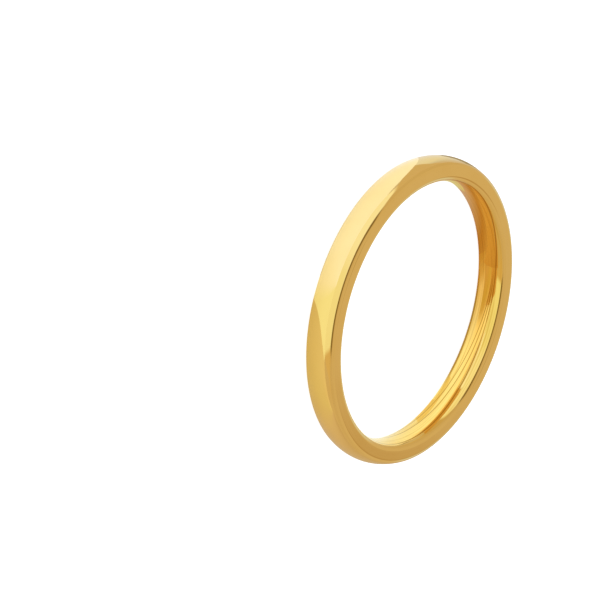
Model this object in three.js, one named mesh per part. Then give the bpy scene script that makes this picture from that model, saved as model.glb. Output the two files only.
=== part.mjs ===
// A plain polished stacking ring, lying on its side.
// Millimetres, +Z up along the ring's own axis. The origin is the centre of the face that it lies on.

import * as THREE from 'three';

// Driving dimensions
const boreDiameter = 17.3; // at the narrowest place, half way through the band
const wallThickness = 1.62; // from the bore's crown to the outer crown
const bandWidth = 2.18; // along the axis, so the height of the ring as it lies
const outerDome = 0.32; // how far the outer face falls from its crown to the band's edges
const boreFlare = 0.3; // how far the bore opens from its crown to its two mouths
const edgeRadius = 0.22; // rounding of all four edges

// Fineness of the facets
const facetsRound = 96; // a multiple of four, so that the widest points lie on the X and Y axes
const stepsToEdge = 4; // from the middle of a face to where its edge begins
const stepsRoundEdge = 4; // over one rounded edge

const halfWidth = bandWidth / 2;
const boreRadius = boreDiameter / 2;
const crownRadius = boreRadius + wallThickness;
const edgeStart = halfWidth - edgeRadius;

const gold = { color: 0xdcae57, metalness: 1, roughness: 0.16 };

// Heights above the band's middle where the section has a point, from one side face to the other.
function sectionHeights() {
  const upper = [];
  for (let i = 1; i < stepsToEdge; i += 1) {
    upper.push((edgeStart * i) / stepsToEdge);
  }
  for (let i = 0; i <= stepsRoundEdge; i += 1) {
    const turn = (Math.PI / 2) * (i / stepsRoundEdge);
    upper.push(edgeStart + edgeRadius * Math.sin(turn));
  }
  const lower = upper.map((height) => -height).reverse();
  return [...lower, 0, ...upper];
}

// How far a face lies back from its crown at a height above the band's middle:
// a shallow curve over the whole width, then the rounded edge.
function fallFromCrown(height, fallAtEdge) {
  const curve = fallAtEdge * (height / halfWidth) ** 2;
  const intoEdge = Math.max(0, Math.abs(height) - edgeStart);
  const rounding = edgeRadius - Math.sqrt(Math.max(0, edgeRadius ** 2 - intoEdge ** 2));
  return curve + rounding;
}

// The closed section, up the outer face, across the upper side face, down the bore and back.
function sectionOutline() {
  const heights = sectionHeights();
  const outerFace = heights.map(
    (height) => new THREE.Vector2(crownRadius - fallFromCrown(height, outerDome), height),
  );
  const boreFace = heights.map(
    (height) => new THREE.Vector2(boreRadius + fallFromCrown(height, boreFlare), height),
  );
  return [...outerFace, ...boreFace.reverse(), outerFace[0].clone()];
}

// The band is the whole ring: one piece of metal with no joint, stone or seam.
function makeBand() {
  const geometry = new THREE.LatheGeometry(sectionOutline(), facetsRound);
  geometry.rotateX(Math.PI / 2);
  const band = new THREE.Mesh(geometry, new THREE.MeshStandardMaterial(gold));
  band.name = 'band';
  band.position.z = halfWidth;
  return band;
}

const ring = new THREE.Group();
ring.add(makeBand());

export default ring;
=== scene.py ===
"""A plain polished stacking ring lying on its side on a pale floor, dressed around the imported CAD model.

Metres, in the frame of the CAD model: the ring's axis is +Z and it lies on the plane z = 0.
Directions round the ring are azimuths in degrees: 0 is towards the camera (-Y) and 90 is +X.
"""

import math

import bpy
from mathutils import Matrix, Vector


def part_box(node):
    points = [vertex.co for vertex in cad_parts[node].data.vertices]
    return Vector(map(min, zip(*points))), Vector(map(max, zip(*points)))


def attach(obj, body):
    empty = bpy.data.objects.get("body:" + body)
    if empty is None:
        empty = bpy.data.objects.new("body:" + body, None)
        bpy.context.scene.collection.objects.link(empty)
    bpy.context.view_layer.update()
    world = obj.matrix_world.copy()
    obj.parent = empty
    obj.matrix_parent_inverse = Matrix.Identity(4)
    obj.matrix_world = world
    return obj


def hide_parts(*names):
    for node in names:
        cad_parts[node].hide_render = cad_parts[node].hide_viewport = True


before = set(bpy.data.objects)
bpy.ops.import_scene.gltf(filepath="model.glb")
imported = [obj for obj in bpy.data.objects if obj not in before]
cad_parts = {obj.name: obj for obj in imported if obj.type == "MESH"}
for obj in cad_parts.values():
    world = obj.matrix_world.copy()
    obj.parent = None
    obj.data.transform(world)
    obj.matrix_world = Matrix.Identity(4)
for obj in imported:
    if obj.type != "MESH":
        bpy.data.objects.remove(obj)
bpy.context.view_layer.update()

# Section of the band, as in the CAD model
BORE_RADIUS = 0.00865
OUTER_DOME = 0.00032
BORE_FLARE = 0.0003
EDGE_RADIUS = 0.00022

# Fineness of the smooth band, and of the round edges of the floor and the cards
STEPS_ROUND = 480
STEPS_TO_EDGE = 12
STEPS_ROUND_EDGE = 8
ARC_STEPS = 96

# Camera, fitted to the ring's outline in the photograph
PICTURE_PX = 600
FOCAL_PX = 4124.5
CROWN_RADIUS_PX = 158.73
RING_CENTRE_PX = (411.73, 310.22)
CAMERA_ELEVATION = math.radians(33.74)
CAMERA_ROLL = math.radians(107.22)
SENSOR_MM = 36.0
CLIP_START = 0.01
CLIP_END = 10.0

# Colours of the metal, set from the photograph's tones. The bore's is deeper, which partly stands in for the
# band's reflection in itself, as that is left out below. The dark colour of the bore's lines is painted
# reflection, and a small share of it in the rounded edges paints a dark reflection line there.
GOLD = (0.93, 0.67, 0.27)
SMUDGED_GOLD = (0.91, 0.64, 0.24)
SMUDGE_SHARE = 0.6
BORE_GOLD = (0.93, 0.65, 0.205)
BORE_STREAK_GOLD = (0.72, 0.43, 0.09)
BORE_STREAK_SHARE = 0.7
PAINTED_LINE_GOLD = (0.52, 0.29, 0.05)
PAINTED_BORE_LINE_SHARE = 0.9
PAINTED_EDGE_LINE_SHARE = 0.1

# The bore's colour ends softly at this distance from the axis, where its rounded edges begin
BORE_MASK_RADIUS = 0.00889
BORE_MASK_SOFTNESS = 0.00005

# Fine lines that turning and polishing leave round the band, with the depth of their relief. Their colour
# in the bore changes over a range of the noise that draws them, and that of the smudges does so too.
STREAKS_PER_METRE = 9000.0
STREAK_CURVE_PER_METRE = 160.0
STREAK_DETAIL = 4.0
STREAK_NOISE_ROUGHNESS = 0.65
STREAK_RANGE = (0.46, 0.66)
STREAK_DEPTH = 0.0000006
BORE_STREAK_DEPTH = 0.0000003
STREAK_ROUGHNESS = (0.01, 0.06)

# Faint smudges, and the rounded edges, which begin and end with the part of the normal along the axis
SMUDGES_PER_METRE = 420.0
SMUDGE_DETAIL = 3.0
SMUDGE_RANGE = (0.35, 0.75)
SMUDGE_ROUGHNESS = 0.03
EDGE_TILT_FROM = (0.50, 0.62)
EDGE_TILT_TO = (0.90, 0.78)
EDGE_ROUGHNESS = 0.05

# Three fine lines in the bore, a guess from dark lines in the photograph. Their dark colour is painted
# reflection: each ends along X where the mirrored dark line it copies ends. Their slight relief stands for
# turned lines. Each has its height on the ring's axis, its rise along X, its bend with the square of X, its
# half width, and the place on X where it fades out.
BORE_LINES = (
    {"height": 0.001275, "rise": -0.055, "bend": 0.0, "half_width": 0.000038, "fades_from": -0.0037},
    {"height": 0.001060, "rise": -0.095, "bend": 0.0, "half_width": 0.000034, "fades_from": -0.0037},
    {"height": 0.001490, "rise": -0.008, "bend": 5.6, "half_width": 0.000040, "fades_from": -0.0095},
)
BORE_LINE_FADE = 0.00125
BORE_LINE_SOFTNESS = 0.6
LINE_DEPTH = 0.000003

# Floor, which glows as a light table does
FLOOR_RADIUS = 1.2
FLOOR_DROP = 0.00004
FLOOR_COLOUR = (0.53, 0.53, 0.54)
GLOW = 1.6

# The cards' colours are painted reflections: they stand in for the light and shade that the metal mirrors.
# Cards that lie on the floor round the ring, inside it and under it, and show only in the metal. Their places
# and colours are set so that the reflections come near the photograph's from its own angle. They
# glow as the floor does. The widest one is a cool white and lies under the others.
# A shaded card's colour changes along one direction, from stop to stop, each with its distance in metres
# from the ring's axis that way.
WIDE_CARD_DROP = 0.000035
CARD_DROP = 0.00003
TOP_CARD_DROP = 0.00002
CONTACT_CARD_DROP = 0.00001
CARD_EDGE_RADIUS = 0.0096
WIDE_CARD_WAY = (1.0, 0.0)
WIDE_CARD_STOPS = (
    {"at": -0.0025, "colour": (0.435, 0.480, 0.540)},
    {"at": 0.0, "colour": (0.420, 0.450, 0.450)},
    {"at": 0.0014, "colour": (0.400, 0.430, 0.320)},
)
SIDE_CARD_STARTS = {"near": 4.0, "far": 52.0}
SIDE_CARD_END = 180.0
SIDE_CARD_WAY = (0.0, 1.0)
SIDE_CARD_STOPS = (
    {"at": -0.014, "colour": (0.327, 0.290, 0.178)},
    {"at": -0.008, "colour": (0.310, 0.280, 0.165)},
    {"at": -0.004, "colour": (0.285, 0.237, 0.163)},
    {"at": 0.003, "colour": (0.250, 0.200, 0.125)},
)
BACK_CARD_AZIMUTHS = (180.0, 288.0)
BACK_CARD_WAY = (-0.5, 0.866)
BACK_CARD_STOPS = (
    {"at": 0.0024, "colour": (0.350, 0.372, 0.385)},
    {"at": 0.0060, "colour": (0.340, 0.354, 0.335)},
    {"at": 0.0077, "colour": (0.300, 0.315, 0.319)},
    {"at": 0.0100, "colour": (0.280, 0.260, 0.228)},
)
# The inner and mouth cards run from pale on +X to deep amber on -X: painted shade of the ring's -X wall on
# the floor inside it, warmed by light the band bounces.
INNER_CARD_WAY = (-1.0, 0.0)
INNER_CARD_STOPS = (
    {"at": -0.0070, "colour": (0.420, 0.450, 0.400)},
    {"at": -0.0022, "colour": (0.475, 0.515, 0.490)},
    {"at": -0.0003, "colour": (0.465, 0.445, 0.350)},
    {"at": 0.0002, "colour": (0.445, 0.410, 0.290)},
    {"at": 0.0010, "colour": (0.305, 0.230, 0.100)},
    {"at": 0.0016, "colour": (0.280, 0.202, 0.060)},
    {"at": 0.0030, "colour": (0.290, 0.195, 0.082)},
    {"at": 0.0042, "colour": (0.255, 0.155, 0.052)},
    {"at": 0.0055, "colour": (0.230, 0.124, 0.032)},
    {"at": 0.0078, "colour": (0.275, 0.205, 0.150)},
)
MOUTH_CARD_AZIMUTHS = (158.0, 213.0)
MOUTH_CARD_RADII = (0.00795, 0.00885)
MOUTH_CARD_STOPS = (
    {"at": -0.0013, "colour": (0.475, 0.515, 0.490)},
    {"at": 0.0006, "colour": (0.413, 0.412, 0.375)},
    {"at": 0.0026, "colour": (0.397, 0.338, 0.245)},
    {"at": 0.0034, "colour": (0.325, 0.242, 0.114)},
    {"at": 0.0045, "colour": (0.269, 0.170, 0.050)},
)
# The contact card is mostly dark: painted shadow under the ring's inner edge, where it rests on the floor.
CONTACT_CARD_AZIMUTHS = (145.0, 206.0)
CONTACT_CARD_RADII = (0.00870, CARD_EDGE_RADIUS)
CONTACT_SHADOW_STOPS = (
    {"at": -0.0042, "colour": (0.455, 0.480, 0.400)},
    {"at": -0.0028, "colour": (0.230, 0.190, 0.090)},
    {"at": 0.0016, "colour": (0.200, 0.160, 0.070)},
    {"at": 0.0038, "colour": (0.269, 0.170, 0.050)},
)

# Plain cards, which lie over the side, back and inner cards. The wedge card runs from a corner near the
# ring's -X side out of sight. The near, far and amber cards lie inside the ring. The rim card and the foot
# card lie close to its outside and are darker: painted contact shadow at the ring's foot.
PLAIN_CARDS = (
    {
        "name": "wedge_card",
        "colour": (0.272, 0.224, 0.142),
        "outline": (
            (-0.0117, -0.0039),
            (-0.0169, 0.0001),
            (-0.0210, 0.0088),
            (-0.6, 0.6),
            (-0.8, -0.12),
            (-0.0190, -0.0063),
        ),
    },
    {
        "name": "near_card",
        "colour": (0.325, 0.226, 0.065),
        "outline": (
            (0.0010, -0.0040),
            (0.0010, 0.0030),
            (0.0030, 0.0034),
            (0.0060, 0.0028),
            (0.0078, 0.0016),
            (0.0078, -0.0030),
        ),
    },
    {
        "name": "far_card",
        "colour": (0.310, 0.290, 0.150),
        "outline": (
            (-0.0028, 0.0034),
            (-0.0028, -0.0075),
            (-0.0070, -0.0062),
            (-0.0094, -0.0015),
            (-0.0094, 0.0016),
            (-0.0078, 0.0034),
        ),
    },
    {
        "name": "amber_card",
        "colour": (0.405, 0.375, 0.220),
        "outline": (
            (0.0029, 0.0084),
            (0.0031, 0.0079),
            (0.0044, 0.0070),
            (0.0052, 0.0062),
            (0.0060, 0.0056),
            (0.0068, 0.0060),
            (0.0058, 0.0076),
        ),
    },
    # Painted contact shadow at the ring's -X foot
    {
        "name": "rim_shadow_card",
        "colour": (0.16, 0.14, 0.09),
        "outline": (
            (-0.0102, -0.0009),
            (-0.0110, -0.0002),
            (-0.0116, 0.0012),
            (-0.0121, 0.0030),
            (-0.0128, 0.0056),
            (-0.0110, 0.0054),
            (-0.0101, 0.0030),
        ),
    },
)
# Painted contact shadow under the ring's outer edge
FOOT_CARD_AZIMUTHS = (262.0, 358.0)
FOOT_CARD_RADII = (CARD_EDGE_RADIUS, 0.0100)
FOOT_SHADOW_COLOUR = (0.30, 0.30, 0.22)

# Upright cards inside the ring: where each stands on X, its outline as places along Y and heights, and the
# turn that brings a flat outline upright along Y
SCREENS = (
    {
        "x": -0.0010,
        "outline": (
            (0.0035, 0.0),
            (0.0066, 0.0),
            (0.0066, 0.0004),
            (0.0056, 0.0018),
            (0.0035, 0.0018),
        ),
    },
    {
        "x": -0.0040,
        "outline": (
            (0.0052, 0.0),
            (0.0073, 0.0),
            (0.0073, 0.0018),
            (0.0052, 0.0018),
        ),
    },
)
SCREEN_TURN = Matrix(((0.0, 0.0, 1.0), (1.0, 0.0, 0.0), (0.0, 1.0, 0.0))).to_4x4()
# The screens' deep gold is a painted reflection in the bore
SCREEN_COLOUR = (0.28, 0.175, 0.058)

# Studio surroundings above the floor, as soft-edged round patches laid over one another, the last on top:
# light (red, green, blue), where the middle is, angular radius and width of the edge in degrees. They are set
# in the same way as the cards.
SURROUNDINGS = (1.04, 1.12, 1.06)
TAN = (0.69, 0.57, 0.36)
PATCHES = (
    {"light": (0.97, 1.02, 0.76), "azimuth": 30.0, "elevation": 5.0, "radius": 45.0, "edge": 20.0},
    {"light": (0.26, 0.19, 0.07), "azimuth": 0.0, "elevation": 90.0, "radius": 54.0, "edge": 6.0},
    {"light": TAN, "azimuth": 0.0, "elevation": 90.0, "radius": 30.0, "edge": 8.0},
    {"light": (0.74, 0.58, 0.30), "azimuth": 87.0, "elevation": 14.0, "radius": 42.0, "edge": 6.0},
    {"light": TAN, "azimuth": 102.0, "elevation": 40.0, "radius": 30.0, "edge": 10.0},
    {"light": TAN, "azimuth": 83.0, "elevation": -33.0, "radius": 46.5, "edge": 3.0},
    {"light": TAN, "azimuth": -124.0, "elevation": 23.0, "radius": 46.6, "edge": 6.0},
    {"light": TAN, "azimuth": 150.0, "elevation": 0.0, "radius": 62.0, "edge": 8.0},
    {"light": (0.72, 0.74, 0.66), "azimuth": 180.0, "elevation": 3.0, "radius": 22.0, "edge": 6.0},
    {"light": (0.53, 0.38, 0.19), "azimuth": 168.0, "elevation": 32.0, "radius": 8.6, "edge": 2.5},
)

# Soft light on the floor, from all round and from overhead, which the metal doesn't mirror
SOFT_WHITE = (0.61, 0.62, 0.645)
LIGHT_AZIMUTH = -92.0
LIGHT_ELEVATION = 72.0
LIGHT_STRENGTH = 1.1
LIGHT_SPREAD = math.radians(110.0)

# Sockets of the node that mixes two colours, which have the same names as those that mix numbers
MIX_SHARE = 0
MIX_FIRST = 6
MIX_SECOND = 7
MIX_RESULT = 2


def direction(azimuth, elevation):
    """The unit vector towards an azimuth and elevation in degrees."""
    around = math.radians(azimuth)
    up = math.radians(elevation)
    return Vector((math.sin(around) * math.cos(up), -math.cos(around) * math.cos(up), math.sin(up)))


def face_profile(height, half_width, fall_at_edge):
    """How far a face lies back from its crown at a height above the band's middle, and its normal.

    The normal is given as its parts away from the wall and along the axis.
    """
    into_edge = max(0.0, abs(height) - (half_width - EDGE_RADIUS))
    turn = math.asin(min(1.0, into_edge / EDGE_RADIUS))
    fall = fall_at_edge * (height / half_width) ** 2 + EDGE_RADIUS * (1 - math.cos(turn))
    slope = 2 * fall_at_edge * height / half_width**2
    outwards = math.cos(turn)
    along = slope * outwards + math.copysign(math.sin(turn), height)
    length = math.hypot(outwards, along)
    return fall, outwards / length, along / length


def section_heights(half_width):
    """Heights above the band's middle where the section has a point, from the lower side face up."""
    edge_start = half_width - EDGE_RADIUS
    upper = [edge_start * i / STEPS_TO_EDGE for i in range(1, STEPS_TO_EDGE)]
    turns = [math.pi / 2 * i / STEPS_ROUND_EDGE for i in range(STEPS_ROUND_EDGE + 1)]
    upper += [edge_start + EDGE_RADIUS * math.sin(turn) for turn in turns]
    return [-height for height in reversed(upper)] + [0.0] + upper


def section_outline(crown_radius, width):
    """The closed section, up the outer face and down the bore: radius, height, and the normal's two parts."""
    half_width = width / 2
    outer = []
    bore = []
    for height in section_heights(half_width):
        fall, outwards, along = face_profile(height, half_width, OUTER_DOME)
        outer.append((crown_radius - fall, height + half_width, outwards, along))
        fall, outwards, along = face_profile(height, half_width, BORE_FLARE)
        bore.append((BORE_RADIUS + fall, height + half_width, -outwards, along))
    return outer + bore[::-1]


def make_band():
    """The smooth band: the section turned once round the axis, in place of the faceted solid."""
    low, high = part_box("band")
    outline = section_outline((high.x - low.x) / 2, high.z - low.z)
    count = len(outline)
    points = []
    normals = []
    faces = []
    for i in range(STEPS_ROUND):
        turn = 2 * math.pi * i / STEPS_ROUND
        cos = math.cos(turn)
        sin = math.sin(turn)
        points += [(r * cos, r * sin, z) for r, z, _, _ in outline]
        normals += [(outwards * cos, outwards * sin, along) for _, _, outwards, along in outline]
        here = i * count
        there = (i + 1) % STEPS_ROUND * count
        for j in range(count):
            k = (j + 1) % count
            faces.append((here + j, there + j, there + k, here + k))
    mesh = bpy.data.meshes.new("polished_band")
    mesh.from_pydata(points, [], faces)
    mesh.shade_smooth()
    mesh.normals_split_custom_set_from_vertices(normals)
    band = bpy.data.objects.new("polished_band", mesh)
    bpy.context.scene.collection.objects.link(band)
    return band


def add_node(tree, kind, settings=None, values=None):
    """A new shader node, with its settings and its inputs. An input is a value or another node's output."""
    node = tree.nodes.new(kind)
    for name, value in (settings or {}).items():
        setattr(node, name, value)
    for name, value in (values or {}).items():
        if isinstance(value, bpy.types.NodeSocket):
            tree.links.new(value, node.inputs[name])
        else:
            node.inputs[name].default_value = value
    return node


def math_node(tree, operation, first, second=0.0):
    """One step of arithmetic."""
    return add_node(tree, "ShaderNodeMath", {"operation": operation}, {0: first, 1: second}).outputs[0]


def smooth_step(tree, value, start, end):
    """0 up to the first value, 1 from the second one on, and a soft step between them."""
    values = {"Value": value, "From Min": start, "From Max": end}
    node = add_node(tree, "ShaderNodeMapRange", {"interpolation_type": "SMOOTHSTEP"}, values)
    return node.outputs["Result"]


def scale_range(tree, value, low, high):
    """A value from 0 to 1 brought to a new range."""
    values = {"Value": value, "To Min": low, "To Max": high}
    return add_node(tree, "ShaderNodeMapRange", None, values).outputs["Result"]


def part_along(tree, vector, way):
    """How far a vector reaches along a direction."""
    values = {0: vector, 1: tuple(way)}
    node = add_node(tree, "ShaderNodeVectorMath", {"operation": "DOT_PRODUCT"}, values)
    return node.outputs["Value"]


def opaque(colour):
    """A colour with its fourth number, as the sockets take it. Another node's output stays as it is."""
    return (*colour, 1.0) if isinstance(colour, tuple) else colour


def mix_colour(tree, share, first, second):
    """The first colour, with a share of the second."""
    values = {MIX_SHARE: share, MIX_FIRST: opaque(first), MIX_SECOND: opaque(second)}
    return add_node(tree, "ShaderNodeMix", {"data_type": "RGBA"}, values).outputs[MIX_RESULT]


def place_on_ring(tree):
    """Position on the ring: as a vector, its X, Y and Z, and its distance from the axis."""
    place = add_node(tree, "ShaderNodeTexCoord").outputs["Object"]
    x, y, z = add_node(tree, "ShaderNodeSeparateXYZ", None, {0: place}).outputs
    squares = math_node(tree, "ADD", math_node(tree, "MULTIPLY", x, x), math_node(tree, "MULTIPLY", y, y))
    return place, x, y, z, math_node(tree, "SQRT", squares)


def streak_pattern(tree, x, y, z, radius):
    """Fine lines round the band: quick changes across it and along the wall, slow ones round it."""
    across = add_node(
        tree,
        "ShaderNodeCombineXYZ",
        None,
        {
            0: math_node(tree, "MULTIPLY", x, STREAK_CURVE_PER_METRE),
            1: math_node(tree, "MULTIPLY", y, STREAK_CURVE_PER_METRE),
            2: math_node(tree, "MULTIPLY", z, STREAKS_PER_METRE),
        },
    )
    values = {
        "Vector": across.outputs[0],
        "W": math_node(tree, "MULTIPLY", radius, STREAKS_PER_METRE),
        "Scale": 1.0,
        "Detail": STREAK_DETAIL,
        "Roughness": STREAK_NOISE_ROUGHNESS,
    }
    return add_node(tree, "ShaderNodeTexNoise", {"noise_dimensions": "4D"}, values).outputs["Fac"]


def bore_lines(tree, x, z, in_bore):
    """Where the bore's three lines are, from 0 to 1, each fading out along X where its painted reflection
    ends.
    """
    lines = 0.0
    for line in BORE_LINES:
        slope = math_node(tree, "ADD", math_node(tree, "MULTIPLY", x, line["bend"]), line["rise"])
        middle = math_node(tree, "ADD", math_node(tree, "MULTIPLY", x, slope), line["height"])
        off = math_node(tree, "ABSOLUTE", math_node(tree, "SUBTRACT", z, middle))
        softness = line["half_width"] * BORE_LINE_SOFTNESS
        there = smooth_step(tree, off, line["half_width"] + softness, line["half_width"] - softness)
        fade_place = line["fades_from"]
        left = smooth_step(tree, x, fade_place - BORE_LINE_FADE, fade_place + BORE_LINE_FADE)
        lines = math_node(tree, "MAXIMUM", lines, math_node(tree, "MULTIPLY", there, left))
    return math_node(tree, "MULTIPLY", lines, in_bore)


def edge_lines(tree):
    """Where each face turns into its rounded edge, from 0 to 1."""
    normal = add_node(tree, "ShaderNodeTexCoord").outputs["Normal"]
    along = add_node(tree, "ShaderNodeSeparateXYZ", None, {0: normal}).outputs[2]
    tilt = math_node(tree, "ABSOLUTE", along)
    starts = smooth_step(tree, tilt, *EDGE_TILT_FROM)
    ends = smooth_step(tree, tilt, *EDGE_TILT_TO)
    return math_node(tree, "MULTIPLY", starts, ends)


def gold_colour(tree, marks):
    """Gold: a little deeper in smudges, streaked in the bore, with a painted dark reflection in the bore's
    lines and a faint one at the rounded edges.
    """
    smudged = scale_range(tree, smooth_step(tree, marks["smudges"], *SMUDGE_RANGE), 0.0, SMUDGE_SHARE)
    outside = mix_colour(tree, smudged, GOLD, SMUDGED_GOLD)
    streaked = scale_range(tree, smooth_step(tree, marks["streaks"], *STREAK_RANGE), 0.0, BORE_STREAK_SHARE)
    bore = mix_colour(tree, streaked, BORE_GOLD, BORE_STREAK_GOLD)
    colour = mix_colour(tree, marks["in_bore"], outside, bore)
    # Painted dark reflection line where the faces turn into the rounded edges
    colour = mix_colour(tree, scale_range(tree, marks["edges"], 0.0, PAINTED_EDGE_LINE_SHARE), colour, PAINTED_LINE_GOLD)
    # Painted dark reflection along the bore's three lines
    return mix_colour(tree, scale_range(tree, marks["lines"], 0.0, PAINTED_BORE_LINE_SHARE), colour, PAINTED_LINE_GOLD)


def gold_roughness(tree, marks):
    """Mirror bright, less so along the streaks, in the smudges and on the rounded edges."""
    roughness = scale_range(tree, marks["streaks"], *STREAK_ROUGHNESS)
    for name, most in (("smudges", SMUDGE_ROUGHNESS), ("edges", EDGE_ROUGHNESS)):
        roughness = math_node(tree, "ADD", roughness, scale_range(tree, marks[name], 0.0, most))
    return roughness


def gold_normal(tree, marks):
    """The streaks and the turned lines as fine relief."""
    depth = scale_range(tree, marks["in_bore"], STREAK_DEPTH, BORE_STREAK_DEPTH)
    height = math_node(tree, "MULTIPLY", marks["streaks"], depth)
    height = math_node(tree, "SUBTRACT", height, scale_range(tree, marks["lines"], 0.0, LINE_DEPTH))
    bump = add_node(tree, "ShaderNodeBump", None, {"Strength": 1.0, "Distance": 1.0, "Height": height})
    return bump.outputs["Normal"]


def gold_material():
    """Polished gold: fine lines round the band, faint smudges, three lines in the bore in relief with a
    painted dark reflection, and rougher edges with a faint painted dark reflection line.
    """
    material = bpy.data.materials.new("polished_gold")
    material.use_nodes = True
    tree = material.node_tree
    place, x, y, z, radius = place_on_ring(tree)
    mask_end = BORE_MASK_RADIUS + BORE_MASK_SOFTNESS
    mask_start = BORE_MASK_RADIUS - BORE_MASK_SOFTNESS
    in_bore = smooth_step(tree, radius, mask_end, mask_start)
    values = {"Vector": place, "Scale": SMUDGES_PER_METRE, "Detail": SMUDGE_DETAIL}
    marks = {
        "in_bore": in_bore,
        "lines": bore_lines(tree, x, z, in_bore),
        "streaks": streak_pattern(tree, x, y, z, radius),
        "smudges": add_node(tree, "ShaderNodeTexNoise", None, values).outputs["Fac"],
        "edges": edge_lines(tree),
    }
    shader = tree.nodes["Principled BSDF"]
    shader.inputs["Metallic"].default_value = 1.0
    tree.links.new(gold_colour(tree, marks), shader.inputs["Base Color"])
    tree.links.new(gold_roughness(tree, marks), shader.inputs["Roughness"])
    tree.links.new(gold_normal(tree, marks), shader.inputs["Normal"])
    return material


def make_flat(name, points, drop):
    """A flat, plain, matt and glowing piece of the stage, which lies a little below the ring's underside."""
    mesh = bpy.data.meshes.new(name)
    mesh.from_pydata([(x, y, 0.0) for x, y in points], [], [tuple(range(len(points)))])
    flat = bpy.data.objects.new(name, mesh)
    flat.location.z = -drop
    bpy.context.scene.collection.objects.link(flat)
    material = bpy.data.materials.new(name)
    material.use_nodes = True
    shader = material.node_tree.nodes["Principled BSDF"]
    shader.inputs["Roughness"].default_value = 1.0
    shader.inputs["Specular IOR Level"].default_value = 0.0
    shader.inputs["Emission Strength"].default_value = GLOW
    mesh.materials.append(material)
    return flat


def colour_flat(flat, colour):
    """Gives a flat piece one colour, in which it also glows."""
    shader = flat.data.materials[0].node_tree.nodes["Principled BSDF"]
    shader.inputs["Base Color"].default_value = opaque(colour)
    shader.inputs["Emission Color"].default_value = opaque(colour)


def arc(radius, from_azimuth, to_azimuth):
    """Points round the ring's axis at one radius."""
    points = []
    for i in range(ARC_STEPS + 1):
        around = direction(from_azimuth + (to_azimuth - from_azimuth) * i / ARC_STEPS, 0.0)
        points.append((around.x * radius, around.y * radius))
    return points


def disc(radius):
    """The outline of a flat disc round the ring's axis."""
    return arc(radius, 0.0, 360.0)[:-1]


def make_floor():
    """A plain pale floor."""
    floor = make_flat("floor", disc(FLOOR_RADIUS), FLOOR_DROP)
    colour_flat(floor, FLOOR_COLOUR)


def colour_along(flat, way, stops):
    """Colours a flat piece from stop to stop along one direction. It also glows in these colours."""
    tree = flat.data.materials[0].node_tree
    shader = tree.nodes["Principled BSDF"]
    place = add_node(tree, "ShaderNodeTexCoord").outputs["Object"]
    first = stops[0]["at"]
    last = stops[-1]["at"]
    values = {"Value": part_along(tree, place, (*way, 0.0)), "From Min": first, "From Max": last}
    share = add_node(tree, "ShaderNodeMapRange", None, values).outputs["Result"]
    ramp = add_node(tree, "ShaderNodeValToRGB", None, {"Fac": share})
    elements = ramp.color_ramp.elements
    for stop in stops[1:-1]:
        elements.new((stop["at"] - first) / (last - first))
    for element, stop in zip(elements, stops):
        element.color = opaque(stop["colour"])
    tree.links.new(ramp.outputs["Color"], shader.inputs["Base Color"])
    tree.links.new(ramp.outputs["Color"], shader.inputs["Emission Color"])


def make_card(name, points, drop=CARD_DROP):
    """A card that only the polished metal shows."""
    card = make_flat(name, points, drop)
    card.visible_camera = False
    card.visible_diffuse = False
    card.visible_transmission = False
    card.visible_shadow = False
    return card


def sector(radii, azimuths):
    """The outline of part of a flat ring round the ring's axis."""
    near, far = radii
    start, end = azimuths
    return arc(far, start, end) + arc(near, end, start)


def make_shaded_cards():
    """The cards whose colour changes along one direction, outside the ring, inside it and under it."""
    wide = make_card("wide_card", disc(FLOOR_RADIUS), WIDE_CARD_DROP)
    colour_along(wide, WIDE_CARD_WAY, WIDE_CARD_STOPS)
    far_edge = arc(FLOOR_RADIUS, SIDE_CARD_STARTS["far"], SIDE_CARD_END)
    near_edge = arc(CARD_EDGE_RADIUS, SIDE_CARD_END, SIDE_CARD_STARTS["near"])
    side = make_card("side_card", far_edge + near_edge)
    colour_along(side, SIDE_CARD_WAY, SIDE_CARD_STOPS)
    back = make_card("back_card", sector((CARD_EDGE_RADIUS, FLOOR_RADIUS), BACK_CARD_AZIMUTHS))
    colour_along(back, BACK_CARD_WAY, BACK_CARD_STOPS)
    inner = make_card("inner_card", disc(CARD_EDGE_RADIUS))
    colour_along(inner, INNER_CARD_WAY, INNER_CARD_STOPS)
    mouth = make_card("mouth_card", sector(MOUTH_CARD_RADII, MOUTH_CARD_AZIMUTHS), TOP_CARD_DROP)
    colour_along(mouth, INNER_CARD_WAY, MOUTH_CARD_STOPS)
    contact = make_card("contact_shadow_card", sector(CONTACT_CARD_RADII, CONTACT_CARD_AZIMUTHS), CONTACT_CARD_DROP)
    colour_along(contact, INNER_CARD_WAY, CONTACT_SHADOW_STOPS)


def make_plain_cards():
    """The cards of one colour each."""
    for card in PLAIN_CARDS:
        colour_flat(make_card(card["name"], card["outline"], TOP_CARD_DROP), card["colour"])
    foot = make_card("foot_shadow_card", sector(FOOT_CARD_RADII, FOOT_CARD_AZIMUTHS), CONTACT_CARD_DROP)
    colour_flat(foot, FOOT_SHADOW_COLOUR)


def make_screens():
    """Low upright cards inside the ring, nearly edge on to the camera, that only the metal shows: a painted
    deep gold reflection in the bore.
    """
    for screen in SCREENS:
        card = make_card("screen", screen["outline"], 0.0)
        card.matrix_world = Matrix.Translation((screen["x"], 0.0, 0.0)) @ SCREEN_TURN
        colour_flat(card, SCREEN_COLOUR)


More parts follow.
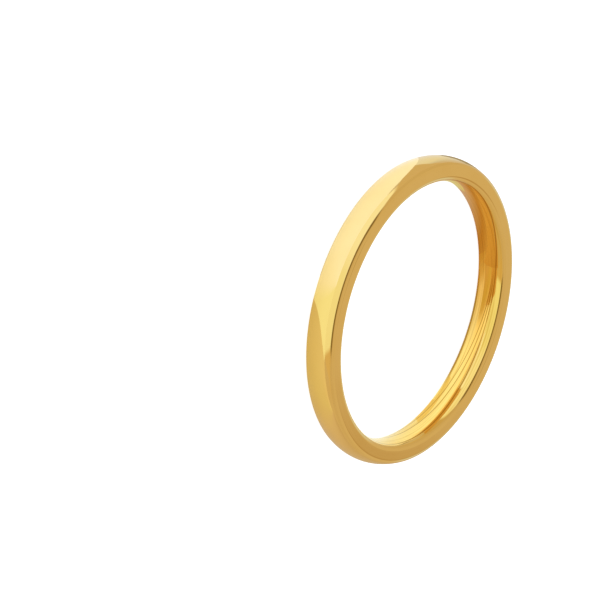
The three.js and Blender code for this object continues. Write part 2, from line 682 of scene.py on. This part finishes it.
def make_world():
    """The studio surroundings: the patches for what the metal mirrors, and soft white for all else."""
    world = bpy.data.worlds.new("studio")
    bpy.context.scene.world = world
    world.use_nodes = True
    tree = world.node_tree
    view = add_node(tree, "ShaderNodeTexCoord").outputs["Generated"]
    colour = SURROUNDINGS
    for patch in PATCHES:
        cosine = part_along(tree, view, direction(patch["azimuth"], patch["elevation"]))
        angle = math_node(tree, "ARCCOSINE", cosine)
        half_edge = patch["edge"] / 2
        outside = math.radians(patch["radius"] + half_edge)
        inside = math.radians(patch["radius"] - half_edge)
        colour = mix_colour(tree, smooth_step(tree, angle, outside, inside), colour, patch["light"])
    mirrored = add_node(tree, "ShaderNodeLightPath").outputs["Is Glossy Ray"]
    tree.links.new(mix_colour(tree, mirrored, SOFT_WHITE, colour), tree.nodes["Background"].inputs["Color"])


def make_light():
    """A soft light from above that the floor catches and the polished metal doesn't mirror."""
    light = bpy.data.lights.new("overhead", "SUN")
    light.energy = LIGHT_STRENGTH
    light.angle = LIGHT_SPREAD
    lamp = bpy.data.objects.new("overhead", light)
    lamp.rotation_mode = "QUATERNION"
    lamp.rotation_quaternion = direction(LIGHT_AZIMUTH, LIGHT_ELEVATION).to_track_quat("Z", "Y")
    lamp.visible_glossy = False
    bpy.context.scene.collection.objects.link(lamp)


def make_camera():
    """The photograph's camera: its height over the ring's plane, its roll and its framing."""
    low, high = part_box("band")
    centre = (low + high) / 2
    metres_per_px = (high.x - low.x) / 2 / CROWN_RADIUS_PX
    away = Vector((0.0, -math.cos(CAMERA_ELEVATION), math.sin(CAMERA_ELEVATION)))
    level_up = Vector((0.0, math.sin(CAMERA_ELEVATION), math.cos(CAMERA_ELEVATION)))
    level_right = Vector((1.0, 0.0, 0.0))
    right = math.cos(CAMERA_ROLL) * level_right + math.sin(CAMERA_ROLL) * level_up
    up = math.cos(CAMERA_ROLL) * level_up - math.sin(CAMERA_ROLL) * level_right
    middle = PICTURE_PX / 2
    aside = (RING_CENTRE_PX[0] - middle) * metres_per_px
    below = (RING_CENTRE_PX[1] - middle) * metres_per_px
    place = centre - right * aside + up * below + away * FOCAL_PX * metres_per_px
    data = bpy.data.cameras.new("camera")
    data.sensor_width = SENSOR_MM
    data.lens = FOCAL_PX / PICTURE_PX * SENSOR_MM
    data.clip_start = CLIP_START
    data.clip_end = CLIP_END
    camera = bpy.data.objects.new("camera", data)
    camera.matrix_world = Matrix.Translation(place) @ Matrix((right, up, away)).transposed().to_4x4()
    bpy.context.scene.collection.objects.link(camera)
    bpy.context.scene.camera = camera


band = make_band()
band.data.materials.append(gold_material())
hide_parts("band")
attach(band, "root")

# The metal doesn't mirror the band: in the photograph the bore shows no clear reflection of its other side
band.visible_glossy = False

make_floor()
make_shaded_cards()
make_plain_cards()
make_screens()
make_world()
make_light()
make_camera()
bpy.context.scene.view_settings.view_transform = "Standard"
